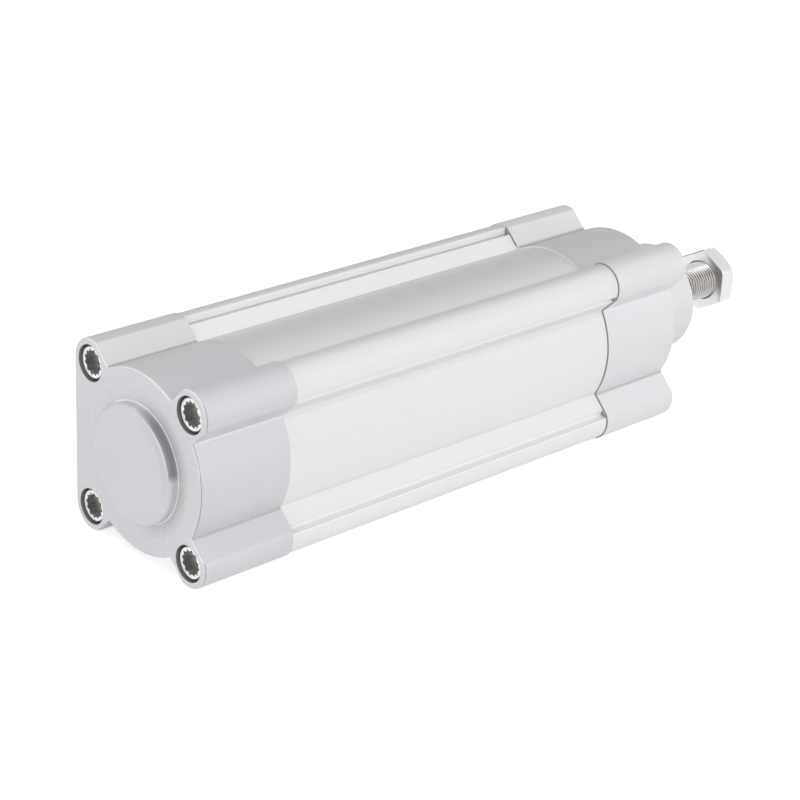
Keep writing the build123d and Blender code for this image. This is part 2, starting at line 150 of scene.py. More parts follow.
def thread(mesh, x_from, x_to, pitch, profile, bound, hold, steps=96):
    """A helical thread. The profile is (share of a turn, radius) pairs over one pitch;
    hold is min for an outer thread and max for an inner one, against bound(x)."""
    per_turn = len(profile)
    rows = int((x_to - x_from) / pitch + 3) * per_turn
    grid = []
    for j in range(rows):
        share, radius = profile[j % per_turn]
        row = []
        for i in range(steps):
            x = x_from + (j // per_turn - 1 + share + i / steps) * pitch
            x = min(max(x, x_from), x_to)
            r = hold(radius, bound(x))
            angle = TURN * i / steps
            row.append(mesh.verts.new((x, r * cos(angle), r * sin(angle))))
        grid.append(row)
    for j in range(rows - 1):
        for i in range(steps - 1):
            mesh.faces.new((grid[j][i], grid[j][i + 1], grid[j + 1][i + 1], grid[j + 1][i]))
        if j + 1 + per_turn < rows:
            last, start = grid[j][-1], grid[j + per_turn][0]
            mesh.faces.new((last, start, grid[j + 1 + per_turn][0], grid[j + 1][-1]))


def closed_ends(x_from, x_to, radius):
    """The bound of an inner thread that runs out into its bore at both ends."""
    reach = 0.02
    return lambda x: radius if x < x_from + reach or x > x_to - reach else 0


def finished(mesh, name, sharp=30):
    """Welds and scales a mesh drawn in millimetres and gives it smooth faces and crisp edges."""
    bmesh.ops.remove_doubles(mesh, verts=mesh.verts, dist=WELD)
    bmesh.ops.dissolve_degenerate(mesh, edges=mesh.edges, dist=WELD)
    loose = [v for v in mesh.verts if not v.link_faces]
    bmesh.ops.delete(mesh, geom=loose, context="VERTS")
    bmesh.ops.recalc_face_normals(mesh, faces=mesh.faces)
    bmesh.ops.scale(mesh, vec=(MM, MM, MM), verts=mesh.verts)
    data = bpy.data.meshes.new(name)
    mesh.to_mesh(data)
    mesh.free()
    for face in data.polygons:
        face.use_smooth = True
    data.set_sharp_from_angle(angle=radians(sharp))
    return data


def add_piece(name, data, body, slot, *nodes):
    """Puts a finished mesh on its body in place of the CAD nodes it stands for."""
    piece = bpy.data.objects.new(name, data)
    bpy.context.scene.collection.objects.link(piece)
    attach(piece, body)
    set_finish(piece, slot)
    if nodes:
        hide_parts(*nodes)
    return piece


def arc(centre, radius, start, end, step=5):
    """Points on an arc between two angles in degrees, both ends included."""
    count = max(2, int(abs(end - start) / step) + 1)
    angles = [radians(start + (end - start) * k / count) for k in range(count + 1)]
    return [(centre[0] + radius * cos(a), centre[1] + radius * sin(a)) for a in angles]


def eased(points, radius):
    """Rounds each corner of an open line and leaves its two ends as they are."""
    steps = 3
    longest = 0.45  # share of the side before a corner that its rounding may take
    line = [points[0]]
    for before, corner, after in zip(points, points[1:], points[2:]):
        c = Vector(corner)
        into = (Vector(before) - c).normalized()
        out = (Vector(after) - c).normalized()
        half = into.angle(out) / 2
        reach = min(radius / tan(half), longest * (Vector(before) - c).length)
        a, b = c + into * reach, c + out * reach
        for k in range(steps + 1):
            t = k / steps
            line.append(tuple((1 - t) ** 2 * a + 2 * t * (1 - t) * c + t ** 2 * b))
    line.append(points[-1])
    return line


def half_lobe():
    """The barrel's outline from the tip of a lobe to the middle of the bulge beside it."""
    lobe = (SCREW_REACH, 0)
    slot_start = SCREW_REACH + SLOT_START
    floor_from = slot_start + SLOT_LEAN
    floor_to = floor_from + SLOT_FLOOR
    slope = (SLOT_MOUTH - SLOT_LEAN - SLOT_FLOOR) / SLOT_DEPTH

    # the slot's outer wall leaves the round tip of the lobe a little under the flank;
    # the place is found by trying again from the last one
    tries = 40
    y = LOBE_HALF
    for _ in range(tries):
        x = floor_to + slope * (y - SLOT_LEVEL)
        y = min(LOBE_HALF, sqrt(LOBE_ROUND_R ** 2 - (x - SCREW_REACH) ** 2))
    lip = (floor_to + slope * (y - SLOT_LEVEL), y)
    lip_angle = asin(y / LOBE_ROUND_R) * 180 / pi

    reach = BULGE_R + LOBE_FILLET_R
    fillet_y = LOBE_HALF + LOBE_FILLET_R
    fillet = (sqrt(reach ** 2 - fillet_y ** 2), fillet_y)
    meet = atan2(fillet[1], fillet[0]) * 180 / pi

    slot_round = 0.22
    tip = arc(lobe, LOBE_ROUND_R, 0, lip_angle)
    slot = [tip[-2], lip, (floor_to, SLOT_LEVEL), (floor_from, SLOT_LEVEL),
            (slot_start, LOBE_HALF), (fillet[0], LOBE_HALF)]
    root = arc(fillet, LOBE_FILLET_R, -90, meet - 180, step=12)
    bulge = arc((0, 0), BULGE_R, meet, 45, step=2.5)
    return tip[:-2] + eased(slot, slot_round) + root[1:] + bulge[1:]


def barrel_outline():
    """The closed outline: one lobe mirrored from its half, then turned to all four corners."""
    half = half_lobe()
    lobe = [(x, -y) for x, y in reversed(half[1:-1])] + half
    points = []
    for quarter in range(4):
        turn = pi / 4 + quarter * pi / 2
        points += [(x * cos(turn) - y * sin(turn), x * sin(turn) + y * cos(turn))
                   for x, y in lobe]
    return points


def shrunk(points, amount):
    """The same closed outline moved inwards."""
    moved = []
    for i, p in enumerate(points):
        before, after = Vector(points[i - 1]), Vector(points[(i + 1) % len(points)])
        along = (after - before).normalized()
        moved.append((p[0] - along.y * amount, p[1] + along.x * amount))
    return moved


def circle(centre, radius, steps):
    """Points round a hole."""
    angles = [TURN * i / steps for i in range(steps)]
    return [(centre[0] + radius * cos(a), centre[1] + radius * sin(a)) for a in angles]


def make_barrel():
    """The extruded barrel: outer skin, bore and screw channels, its cut ends eased."""
    ease = 0.25
    bore_steps, channel_steps = 144, 32
    outline = barrel_outline()
    inner = [circle((0, 0), BORE_R, bore_steps)]
    inner += [circle(place, CHANNEL_R, channel_steps) for place in SCREW_PLACES]

    def level(x, points):
        return [(x, y, z) for y, z in points]

    mesh = bmesh.new()
    small = shrunk(outline, ease)
    skin(mesh, [level(REAR_JOINT, small), level(REAR_JOINT + ease, outline),
                level(FRONT_JOINT - ease, outline), level(FRONT_JOINT, small)])
    for hole in inner:
        skin(mesh, [level(REAR_JOINT, hole), level(FRONT_JOINT, hole)])
    loops = [[Vector((y, z, 0)) for y, z in loop] for loop in [small] + inner]
    flat = [p for loop in loops for p in loop]
    for x in (REAR_JOINT, FRONT_JOINT):
        corners = [mesh.verts.new((x, p.x, p.y)) for p in flat]
        for a, b, c in tessellate_polygon(loops):
            mesh.faces.new((corners[a], corners[b], corners[c]))
    return finished(mesh, "barrel_extrusion")


def spline_socket(angle):
    """Radius of a twelve-point socket with slightly blunt points."""
    point_r, blunt_r = 5.16, 5.1
    half_step = pi / 12
    off = (angle + half_step) % (2 * half_step) - half_step
    return min(point_r * cos(pi / 4) / cos(pi / 4 - abs(off)), blunt_r)


def make_cover_screws(name, front):
    """Four long-headed cover screws with a splined socket and a female thread."""
    sink, socket_end, bore_end, seat, end = 0.95, 5.7, 22.7, 26.2, 46.2
    shank_r, end_chamfer, seat_ease = 4.0, 0.8, 0.15
    head_round = [(0.9, SCREW_HEAD_R), (0.55, 6.4), (0.12, 5.95), (0.0, 5.75)]
    mouth_out, mouth_in = 0.16, 0.18
    crest_r, flank_r, root_r, pitch = 3.4, 3.98, 4.02, 1.25
    drill_point = 2.2
    steps = 120
    turns_apart = (7, 19, 2, 12)  # how far each screw was turned when it came tight, in degrees

    mesh = bmesh.new()
    outside = [(end, TIP), (end, shank_r - end_chamfer), (end - end_chamfer, shank_r),
               (seat, shank_r), (seat, SCREW_HEAD_R - seat_ease), (seat - seat_ease, SCREW_HEAD_R)]
    outside += [(sink + deep, radius) for deep, radius in head_round]
    inside = [(sink, lambda a: spline_socket(a) + mouth_out), (sink + mouth_in, spline_socket),
              (socket_end, spline_socket), (socket_end, SCREW_BORE_R)]
    skin(mesh, turned(outside + inside, steps))
    profile = [(0.0, crest_r), (0.12, crest_r), (0.44, flank_r), (0.5, root_r), (0.56, flank_r),
               (0.88, crest_r)]
    bound = closed_ends(socket_end, bore_end, SCREW_BORE_R)
    thread(mesh, socket_end, bore_end, pitch, profile, bound, max, steps)
    skin(mesh, turned([(bore_end, SCREW_BORE_R), (bore_end + drill_point, TIP)], steps))
    bmesh.ops.remove_doubles(mesh, verts=mesh.verts, dist=WELD)
    one = bpy.data.meshes.new("one_screw")
    mesh.to_mesh(one)
    mesh.free()

    four = bmesh.new()
    for (y, z), angle in zip(SCREW_PLACES, turns_apart):
        before = set(four.verts)
        four.from_mesh(one)
        new = [v for v in four.verts if v not in before]
        bmesh.ops.rotate(four, verts=new, cent=(0, 0, 0),
                         matrix=Matrix.Rotation(radians(angle), 3, "X"))
        if front:
            for v in new:
                v.co.x = BODY_LENGTH - v.co.x
        bmesh.ops.translate(four, verts=new, vec=(0, y, z))
    bpy.data.meshes.remove(one)
    return finished(four, name)


def rod_flats(angle):
    """Radius of the rod where its two wrench flats are."""
    least = 0.01  # keeps clear of a division by nothing
    return min(ROD_R, ROD_FLAT / max(abs(cos(angle)), least))


def make_rod():
    """The rod with its stud, ground shank, wrench flats and rolled thread."""
    stud_x, stud_r, stud_chamfer = 27.5, 6.0, 0.6
    seat_x, seat_chamfer = 86.0, 0.2
    flats_x, shoulder_chamfer = 275.0, 0.6
    relief_x, relief_r, relief_round = ROD_SHOULDER + 2.5, 7.0, 0.3
    pitch = 1.5
    mesh = bmesh.new()
    skin(mesh, turned([
        (stud_x, TIP), (stud_x, stud_r - stud_chamfer), (stud_x + stud_chamfer, stud_r),
        (seat_x, stud_r), (seat_x, ROD_R - seat_chamfer), (seat_x + seat_chamfer, ROD_R),
        (flats_x, ROD_R), (flats_x, rod_flats), (ROD_SHOULDER - shoulder_chamfer, rod_flats),
        (ROD_SHOULDER, lambda angle: min(rod_flats(angle), ROD_R - shoulder_chamfer)),
        (ROD_SHOULDER, relief_r + relief_round), (ROD_SHOULDER + relief_round, relief_r),
        (relief_x, relief_r),
    ]))

    def bound(x):
        return min(relief_r + (x - relief_x), relief_r + (ROD_END - x))

    crest_r, worn_r, edge_r, groove_edge_r, groove_r, root_r = 8.0, 7.98, 7.88, 7.22, 7.1, 7.08
    profile = [(0.0, crest_r), (0.07, worn_r), (0.12, edge_r), (0.36, groove_edge_r),
               (0.43, groove_r), (0.5, root_r), (0.57, groove_r), (0.64, groove_edge_r),
               (0.88, edge_r), (0.93, worn_r)]
    thread(mesh, relief_x, ROD_END, pitch, profile, bound, min)
    skin(mesh, turned([(ROD_END, relief_r), (ROD_END, TIP)]))
    return finished(mesh, "piston_rod_threaded")


def hexagon(angle):
    """Radius of the nut's six flats, with a corner at the top."""
    half_step = pi / 6
    off = (angle + half_step) % (2 * half_step) - half_step
    return NUT_FLATS / 2 / cos(off)


def make_rod_nut():
    """A thin hexagon nut; the outer face is turned down far more than the inner one."""
    near, far = 303.4, 311.4
    near_face_r, far_face_r, hole_r, mouth_r = 13.3, 11.6, 8.05, 8.65
    near_flat_r, far_flat_r = 11.4, 11.5
    mouth_depth, least_chamfer = 0.6, 0.12
    steps = 96
    slope = tan(radians(30))

    def face_edge(x, face_r):
        return ring(x, lambda angle: min(hexagon(angle), face_r), steps)

    def side_edge(x, face_r, sign):
        points = []
        for i in range(steps):
            angle = TURN * i / steps
            r = hexagon(angle)
            back = max(r - face_r, 0) * slope + least_chamfer
            points.append((x + sign * back, r * cos(angle), r * sin(angle)))
        return points

    mesh = bmesh.new()
    skin(mesh, [
        *turned([(near + mouth_depth, hole_r), (near, mouth_r), (near, near_flat_r)]),
        face_edge(near, near_face_r),
        side_edge(near, near_face_r, 1),
        side_edge(far, far_face_r, -1),
        *turned([(far, far_flat_r), (far, mouth_r), (far - mouth_depth, hole_r)]),
    ], closed=True)
    return finished(mesh, "rod_nut_turned", sharp=20)


def make_port_thread(front):
    """The inner thread of an air port, as a thin lining of the port's hole."""
    port_from_face, depth_from, depth_to = 17.0, 26.5, 36.6
    crest_r, flank_r, root_r, outer_r, pitch = 7.05, 7.5, 7.53, 7.58, 1.337
    port_x = BODY_LENGTH - port_from_face if front else port_from_face
    profile = [(0.0, crest_r), (0.1, crest_r), (0.42, flank_r), (0.5, root_r), (0.58, flank_r),
               (0.9, crest_r)]
    mesh = bmesh.new()
    bound = closed_ends(depth_from, depth_to, root_r)
    thread(mesh, depth_from, depth_to, pitch, profile, bound, max)
    skin(mesh, turned([(depth_from, root_r), (depth_from, outer_r), (depth_to, outer_r),
                       (depth_to, root_r)]))
    for v in mesh.verts:
        v.co = Vector((port_x + v.co.y, v.co.x, v.co.z))
    return finished(mesh, ("front" if front else "rear") + "_port_thread")


# ---- finishes


class Amount:
    """A number that varies over a surface, so that shader maths reads as plain sums."""

    def __init__(self, bench, socket):
        self.bench = bench
        self.socket = socket

    def maths(self, operation, *values):
        return self.bench.node("ShaderNodeMath", {"operation": operation}, dict(enumerate(values)))

    def __add__(self, other):
        return self.maths("ADD", self, other)

    def __sub__(self, other):
        return self.maths("SUBTRACT", self, other)

    def __rsub__(self, other):
        return self.maths("SUBTRACT", other, self)

    def __mul__(self, other):
        return self.maths("MULTIPLY", self, other)

    def __pow__(self, other):
        return self.maths("POWER", self, other)

    def __abs__(self):
        return self.maths("ABSOLUTE", self)


class Bench:
    """The node tree of one finish, or of the world."""

    def __init__(self, owner):
        owner.use_nodes = True
        self.owner = owner
        self.tree = owner.node_tree
        self.tree.nodes.clear()

    def node(self, kind, settings=None, sockets=None, output=0):
        """Adds a node: its settings first, then the values or links of its sockets."""
        made = self.tree.nodes.new(kind)
        for key, value in (settings or {}).items():
            setattr(made, key, value)
        for key, value in (sockets or {}).items():
            if isinstance(value, Amount):
                self.tree.links.new(value.socket, made.inputs[key])
            else:
                made.inputs[key].default_value = value
        return Amount(self, made.outputs[output]) if made.outputs else None

    def place(self, stretch=(1, 1, 1)):
        """The point on the piece in metres, each direction multiplied."""
        here = self.node("ShaderNodeTexCoord", output="Object")
        return self.node("ShaderNodeVectorMath", {"operation": "MULTIPLY"}, {0: here, 1: stretch})

    def noise(self, scale, stretch=(1, 1, 1), detail=3, roughness=0.55):
        """Smooth noise about 0.5; scale is in spots per metre."""
        return self.node("ShaderNodeTexNoise", {"noise_dimensions": "3D"},
                         {"Vector": self.place(stretch), "Scale": scale, "Detail": detail,
                          "Roughness": roughness})

    def axes(self, vector=None):
        """The three parts of a vector, by default of the point on the piece."""
        here = self.node("ShaderNodeSeparateXYZ", sockets={0: vector or self.place()})
        return [Amount(self, socket) for socket in here.socket.node.outputs]

    def facing(self):
        """The three parts of the direction the surface faces."""
        return self.axes(self.node("ShaderNodeNewGeometry", output="Normal"))

    def off_axis(self, about_screws=False):
        """The distance from the cylinder's axis, or from the nearest screw's axis."""
        y, z = self.axes()[1:]
        if about_screws:
            y = abs(y) - SCREW_AXIS * MM
            z = abs(z) - SCREW_AXIS * MM
        return (y * y + z * z) ** 0.5

    def towards(self, y_part, z_part):
        """How far a point is from the axis in one direction across it."""
        y, z = self.axes()[1:]
        return y * y_part + z * z_part

    def lobe_axes(self):
        """How far out from its screw's axis a point of a lobe is, and how far off the middle."""
        y, z = (abs(part) for part in self.axes()[1:])
        return (y + z) * sqrt(0.5) - SCREW_REACH * MM, abs(y - z) * sqrt(0.5)

    def ramp(self, value, low, high):
        """0 before the first mark and 1 past the second, whichever of them is higher."""
        return self.node("ShaderNodeMapRange", {"clamp": True},
                         {"Value": value, "From Min": low, "From Max": high})

    def rise(self, value, low, high):
        """A ramp over lengths, with its marks in millimetres."""
        return self.ramp(value, low * MM, high * MM)

    def band(self, value, low, high, soft=0.03):
        """1 between the two millimetre marks, fading out past them."""
        return self.rise(value, low - soft, low) * self.rise(value, high + soft, high)

    def level(self, value, mark):
        """1 on a face that lies at one millimetre mark."""
        return self.band(value, mark - FACE_REACH, mark + FACE_REACH)

    def lathe_marks(self, scale=2600, about_screws=False):
        """Fine rings left by turning, on cylinders and on faces alike."""
        x = self.axes()[0]
        return self.node("ShaderNodeTexNoise", {"noise_dimensions": "1D"},
                         {"W": x + self.off_axis(about_screws), "Scale": scale, "Detail": 4,
                          "Roughness": 0.7})

    def tint(self, share, first, second):
        """A colour between two, by a number from 0 to 1."""
        first = first if isinstance(first, Amount) else (*first, 1)
        second = second if isinstance(second, Amount) else (*second, 1)
        # inputs 6 and 7 and output 2 are the ones for colours
        return self.node("ShaderNodeMix", {"data_type": "RGBA"}, {0: share, 6: first, 7: second},
                         output=2)

    def painted(self, shade, *coats):
        """Lays coats over a colour in their order; each is how much it covers and its colour."""
        for share, colour in coats:
            shade = self.tint(share, shade, colour)
        return shade

    def between(self, share, low, high):
        """A number between two, by a number from 0 to 1."""
        return share * (high - low) + low

    def relief(self, height, distance, under=None):
        """A bump of the given height in metres, on top of another one if there is one."""
        sockets = {"Height": height, "Distance": distance}
        if under:
            sockets["Normal"] = under
        return self.node("ShaderNodeBump", sockets=sockets)

    def turned_relief(self, rings):
        """Turning marks on a slightly uneven surface."""
        uneven = self.relief(self.noise(1800, detail=2), 0.000004)
        return self.relief(rings, MARK_DEPTH, under=uneven)

    def done(self, **sockets):
        """Ends the tree in one shader with the given sockets and returns the material."""
        shader = self.node("ShaderNodeBsdfPrincipled",
                           sockets={k.replace("_", " "): v for k, v in sockets.items()})
        self.node("ShaderNodeOutputMaterial", sockets={"Surface": shader})
        return self.owner


def material_bench(name):
    return Bench(bpy.data.materials.new(name))


def grey(level, warm=0.0):
    return (level * (1 + warm), level, level * (1 - warm))


def scaled(colour, factor):
    """A colour made darker or lighter, up to white."""
    return tuple(min(1.0, factor * c) for c in colour)


def blasted_casting(name, colour, metal, rough):
    """Fine blasted and clear anodised metal of the caps, the plug and the gland, with light and
    shade painted into its colour in many places.
    """
    bench = material_bench(name)
    grain = bench.noise(5200, detail=2)
    clouds = bench.noise(70, detail=4)
    x, y, z = bench.axes()
    from_axis = bench.off_axis()
    from_screw = bench.off_axis(about_screws=True)
    off_middle = bench.lobe_axes()[1]
    facing_y, facing_z = bench.facing()[1:]
    upper_half = bench.rise(z, 0.0, 5.0)
    lower_half = bench.rise(z, 0.0, -5.0)

    # the centring spigot: painted shade on its rim and wall on the side away from the lamps, a
    # painted highlight line at its foot and a painted shadow on the rear face beside it
    shaded = bench.rise(bench.towards(-0.891, 0.454), 12.0, 19.5) * bench.rise(x, -0.02, -0.1)
    shaded_spigot_rim = bench.rise(from_axis, SPIGOT_R - 5.0, SPIGOT_R - 4.0) * shaded
    shaded_spigot_wall = bench.rise(from_axis, SPIGOT_R - 0.8, SPIGOT_R - 0.5) * shaded
    shaded_spigot_wall = shaded_spigot_wall * bench.rise(z, 1.0, 4.0)
    wall_shade = bench.tint(bench.rise(x, -2.4, -0.2), (0.255, 0.252, 0.275), (0.30, 0.297, 0.32))
    foot_highlight = bench.band(from_axis, SPIGOT_R + 0.02, SPIGOT_R + 0.35)
    foot_highlight = foot_highlight * bench.band(x, -0.2, 0.05)
    shadow = bench.rise(from_axis, SPIGOT_R + 6.0, SPIGOT_R + 0.1) * bench.rise(y, 4.0, -16.0)
    shadow = shadow * bench.level(x, 0.0)

    # painted shade in the gap round each screw head in its counterbore
    head_hole_shade = bench.rise(from_screw, HEAD_HOLE_R + 0.07, HEAD_HOLE_R + 0.03)
    # the rounded edge of the rear face: a painted highlight where it faces up and painted shade
    # where it faces aside
    edge = bench.rise(from_screw, HEAD_HOLE_R + 0.3, HEAD_HOLE_R + 0.4)
    edge_highlight = edge * bench.band(x, 0.03, 0.3, 0.06) * bench.ramp(facing_z, 0.1, 0.5)
    edge_highlight = edge_highlight * bench.ramp(facing_y, -0.7, -0.4)
    edge_shade = edge * bench.band(x, 0.28, 0.6, 0.1) * bench.ramp(facing_y, -0.6, -0.8)
    worn = bench.band(x, 0.05, 0.5, 0.1)
    worn = worn + bench.band(x, BODY_LENGTH - 0.5, BODY_LENGTH - 0.05, 0.1)
    worn = worn * bench.ramp(bench.noise(700), 0.53, 0.64)

    # the front cap and the upward flanks of the lobes painted lighter and the crown of the front
    # cap painted darker, as light falls on them; painted highlight and painted shade on the roots
    # of the lobes; the crown is the bulge between the two upper lobes
    front = bench.rise(x, FRONT_JOINT - 1.0, FRONT_JOINT)
    crown = bench.rise(z, 27.0, 28.0) * bench.rise(from_axis, 36.5, 36.0)
    flank = bench.band(off_middle, CAP_LOBE_HALF - 0.2, CAP_LOBE_HALF + 0.2)
    flank = flank * bench.ramp(facing_z, 0.2, 0.4) * upper_half
    root = bench.band(off_middle, CAP_LOBE_HALF, CAP_LOBE_HALF + 0.45)
    root = root * bench.band(from_axis, 34.9, 35.6, 0.1) * bench.rise(x, 0.2, 0.5)
    root_highlight = root * upper_half * bench.rise(y, 5.0, 0.0)
    root_shade = root * (lower_half + bench.rise(y, 5.0, 10.0))
    # the step where a cap meets the barrel: a dark joint line deepened with painted shade, and a
    # painted highlight where it crosses the crown
    joint = bench.level(x, REAR_JOINT) + bench.level(x, FRONT_JOINT)
    joint = joint * bench.rise(y, 26.3, 26.0)

    shade = bench.painted(
        bench.tint(clouds * 0.6 + grain * 0.4, scaled(colour, 0.94), scaled(colour, 1.04)),
        (front * 0.6, LIT_CASTING),
        (flank * 0.6, LIT_CASTING),
        (front * crown * 0.8, SHADED_CASTING),
        (root_highlight * 0.5, grey(0.95)),
        (root_shade * 0.7, grey(0.42)),
        (worn * 0.35, grey(0.92)),
        (shadow * 0.55, grey(0.36)),
        (edge_highlight * 0.55, grey(0.95)),
        (edge_shade * 0.7, grey(0.25)),
        (shaded_spigot_rim, (0.60, 0.596, 0.615)),
        (shaded_spigot_wall, wall_shade),
        (foot_highlight, grey(0.95)),
        (head_hole_shade, grey(0.2)),
        (joint, bench.tint(crown, grey(0.4), grey(0.85))),
    )
    swell = bench.relief(bench.noise(38, detail=1), 0.0001)
    normal = bench.relief(grain, 0.00001, under=swell)
    roughness = bench.between(clouds * 0.5 + grain * 0.5, rough - 0.06, rough + 0.06)
    return bench.done(Base_Color=shade, Metallic=metal, Normal=normal, Roughness=roughness,
                      Specular_IOR_Level=0.25)


def drawn_extrusion(name, colour, metal, rough):
    """Clear anodised extrusion with fine lines along its length, darker cut ends, and light and
    shade painted into its colour in many places.
    """
    bench = material_bench(name)
    lines = bench.noise(1500, stretch=(0.012, 1, 1), detail=4, roughness=0.7)
    bands = bench.noise(260, stretch=(0.01, 1, 1), detail=2)
    x, y, z = bench.axes()
    from_axis = bench.off_axis()
    from_top = abs(y)
    out, off_middle = bench.lobe_axes()
    facing_y, facing_z = bench.facing()[1:]
    near_half = bench.rise(y, 5.0, 0.0)
    upper_half = bench.rise(z, 0.0, 5.0)
    lower_half = bench.rise(z, 0.0, -5.0)

    # the crown is the bulge between the two upper lobes: painted shade on its top and painted light
    # beside the lobes, in place of a glossy gradient
    crown = bench.rise(z, 27.0, 28.0) * bench.rise(from_axis, 35.5, 35.0)
    shaded_crown = bench.rise(from_top, 15.0, 3.0) * crown
    lit_crown = bench.rise(from_top, 11.0, 18.0) * crown

    # the sensor slots: painted light on the upper slots' outer walls and on the lower slots,
    # painted shade on the upper slots' floors and over the highlight on the lips
    lit_slot_wall = bench.rise(off_middle, SLOT_LEVEL - 0.1, SLOT_LEVEL + 0.1)
    lit_slot_wall = lit_slot_wall * bench.band(out, 2.5, 4.9) * (1.0 - near_half * upper_half)
    shaded_slot_floor = bench.band(off_middle, SLOT_LEVEL - 0.2, SLOT_LEVEL + 0.3)
    shaded_slot_floor = shaded_slot_floor * bench.band(out, 1.3, 2.42) * upper_half
    lit_low_slot = bench.rise(off_middle, LOBE_HALF - 0.1, LOBE_HALF - 0.2)
    lit_low_slot = lit_low_slot * bench.band(out, 0.9, 4.9) * lower_half
    lip = bench.band(out, 3.7, 4.7) * bench.rise(off_middle, 7.2, 7.4) * near_half

    # the lobes, their flanks and the roots where they leave the round of the barrel: painted light
    # on the flanks that face the lamps, painted shade on the undersides, on the lobe tops that face
    # away and along the roots
    flank = bench.band(off_middle, LOBE_HALF - 0.1, LOBE_HALF + 0.2)
    lit_flank = flank * bench.ramp(facing_y, 0, -0.3) * bench.ramp(facing_z, 0, 0.3)
    shaded_underside = flank * bench.ramp(facing_z, -0.3, -0.6) * upper_half
    shaded_lobe_top = bench.rise(off_middle, LOBE_HALF + 0.2, LOBE_HALF + 0.1)
    shaded_lobe_top = shaded_lobe_top * bench.ramp(facing_y, -0.5, 0) * bench.ramp(facing_z, 0.1, 0.4)
    root = bench.rise(from_axis, 35.6, 35.4)
    root = root * bench.rise(off_middle, LOBE_HALF + 0.02, LOBE_HALF + 0.2)
    soft_root_shade = root * bench.rise(off_middle, 10.6, 8.8) * near_half * bench.rise(z, 20.0, 18.0)
    crown_root_shade = root * bench.rise(off_middle, 8.9, 8.7)
    crown_root_shade = crown_root_shade * bench.rise(y, 5.0, 10.0) * bench.rise(z, 5.0, 10.0)

    # the eased cut ends: darker bare sawn metal and painted shade in the joint, with a painted
    # highlight where they cross the crown
    sawn_and_shaded_ends = bench.rise(x, FRONT_JOINT - 0.4, FRONT_JOINT - 0.3)
    sawn_and_shaded_ends = sawn_and_shaded_ends + bench.rise(x, REAR_JOINT + 0.3, REAR_JOINT + 0.2)
    sawn_and_shaded_ends = sawn_and_shaded_ends * bench.rise(y, 26.3, 26.0)

    shade = bench.painted(
        bench.tint(lines * 0.5 + bands * 0.5, scaled(colour, 0.95), scaled(colour, 1.03)),
        (shaded_crown * 0.75, grey(0.67)),
        (lit_crown * 0.8, grey(0.98)),
        (lit_slot_wall, grey(1.0)),
        (shaded_slot_floor, grey(0.62)),
        (lit_flank * (0.9 - lower_half * 0.75), grey(1.0)),
        (shaded_underside * 0.8, grey(0.74)),
        (lit_low_slot * 0.25, grey(1.0)),
        (lip * 0.8, grey(0.80)),
        (soft_root_shade * 0.8, grey(0.76)),
        (crown_root_shade * 0.7, grey(0.5)),
        (shaded_lobe_top * 0.5, grey(0.62)),
        (sawn_and_shaded_ends, bench.tint(crown, grey(0.36), grey(0.9))),
    )
    normal = bench.relief(lines * 0.6 + bands * 0.4, 0.000008)
    return bench.done(Base_Color=shade, Metallic=metal, Normal=normal, Specular_IOR_Level=0.15,
                      Roughness=bench.between(lines, rough - 0.08, rough + 0.08))


def turned_metal(name, colour, second, rough):
    """Turned or plated metal with fine rings and a little cloudiness."""
    bench = material_bench(name)
    rings = bench.lathe_marks()
    clouds = bench.noise(420, detail=4)
    shade = bench.tint(clouds * 0.6 + rings * 0.4, colour, second)
    roughness = bench.between(clouds * 0.5 + rings * 0.5, rough - 0.08, rough + 0.1)
    return bench.done(Base_Color=shade, Metallic=1.0, Normal=bench.turned_relief(rings),
                      Roughness=roughness)


def plated_screw(name):
    """Bright plated screw head with painted shade in its socket and down its sides."""
    bench = material_bench(name)
    rings = bench.lathe_marks(about_screws=True)
    clouds = bench.noise(900, detail=4)
    x = bench.axes()[0]
    deep = x.maths("MINIMUM", x, BODY_LENGTH * MM - x)
    from_screw = bench.off_axis(about_screws=True)
    # painted shade in the socket, less of it deep down, and on the side of the head in its
    # counterbore
    socket = bench.rise(from_screw, 5.25, 5.0) * bench.rise(deep, 1.0, 1.6)
    side = bench.rise(from_screw, 5.8, 6.3) * bench.rise(deep, 0.97, 1.2)
    shade = bench.painted(
        bench.tint(clouds * 0.6 + rings * 0.4, grey(0.70), grey(0.84)),
        (side, grey(0.2)),
        (socket, grey(0.42, 0.03)),
        (socket * bench.rise(deep, 4.0, 8.0), grey(0.62, 0.03)),
    )
    normal = bench.relief(rings, MARK_DEPTH, under=bench.relief(clouds, 0.00002))
    return bench.done(Base_Color=shade, Metallic=0.85, Normal=normal,
                      Roughness=bench.between(clouds, 0.22, 0.42))


def rolled_thread(name):
    """Ground rod; painted highlights along the top and bottom of its thread and dark brown painted
    shade in its grooves.
    """
    bench = material_bench(name)
    rings = bench.lathe_marks(scale=3200)
    clouds = bench.noise(500, detail=4)
    x, _, z = bench.axes()
    # painted highlights along the top and bottom of the thread
    glint = bench.rise(z, 5.0, 6.8) + bench.rise(z, -4.5, -6.5)
    glint = glint * bench.rise(x, ROD_SHOULDER + 1.0, ROD_SHOULDER + 3.0)
    end_face = bench.rise(x, ROD_END - 0.5, ROD_END - 0.2)
    # painted shade, dark brown, in the thread's grooves
    groove_shade = bench.rise(bench.off_axis(), 7.75, 7.3)
    groove_shade = groove_shade * bench.rise(x, ROD_SHOULDER + 2.2, ROD_SHOULDER + 2.6)
    groove_shade = groove_shade * bench.rise(x, ROD_END - 0.4, ROD_END - 0.8)
    shade = bench.painted(
        bench.tint(clouds * 0.6 + rings * 0.4, grey(0.46, 0.035), grey(0.60, 0.035)),
        (glint, grey(0.68)),
        (end_face, grey(0.4)),
        (groove_shade, grey(0.11, 0.12)),
    )
    return bench.done(Base_Color=shade, Metallic=0.9, Normal=bench.relief(rings, 0.000004),
                      Roughness=bench.between(clouds * 0.5 + rings * 0.5, 0.16, 0.34))


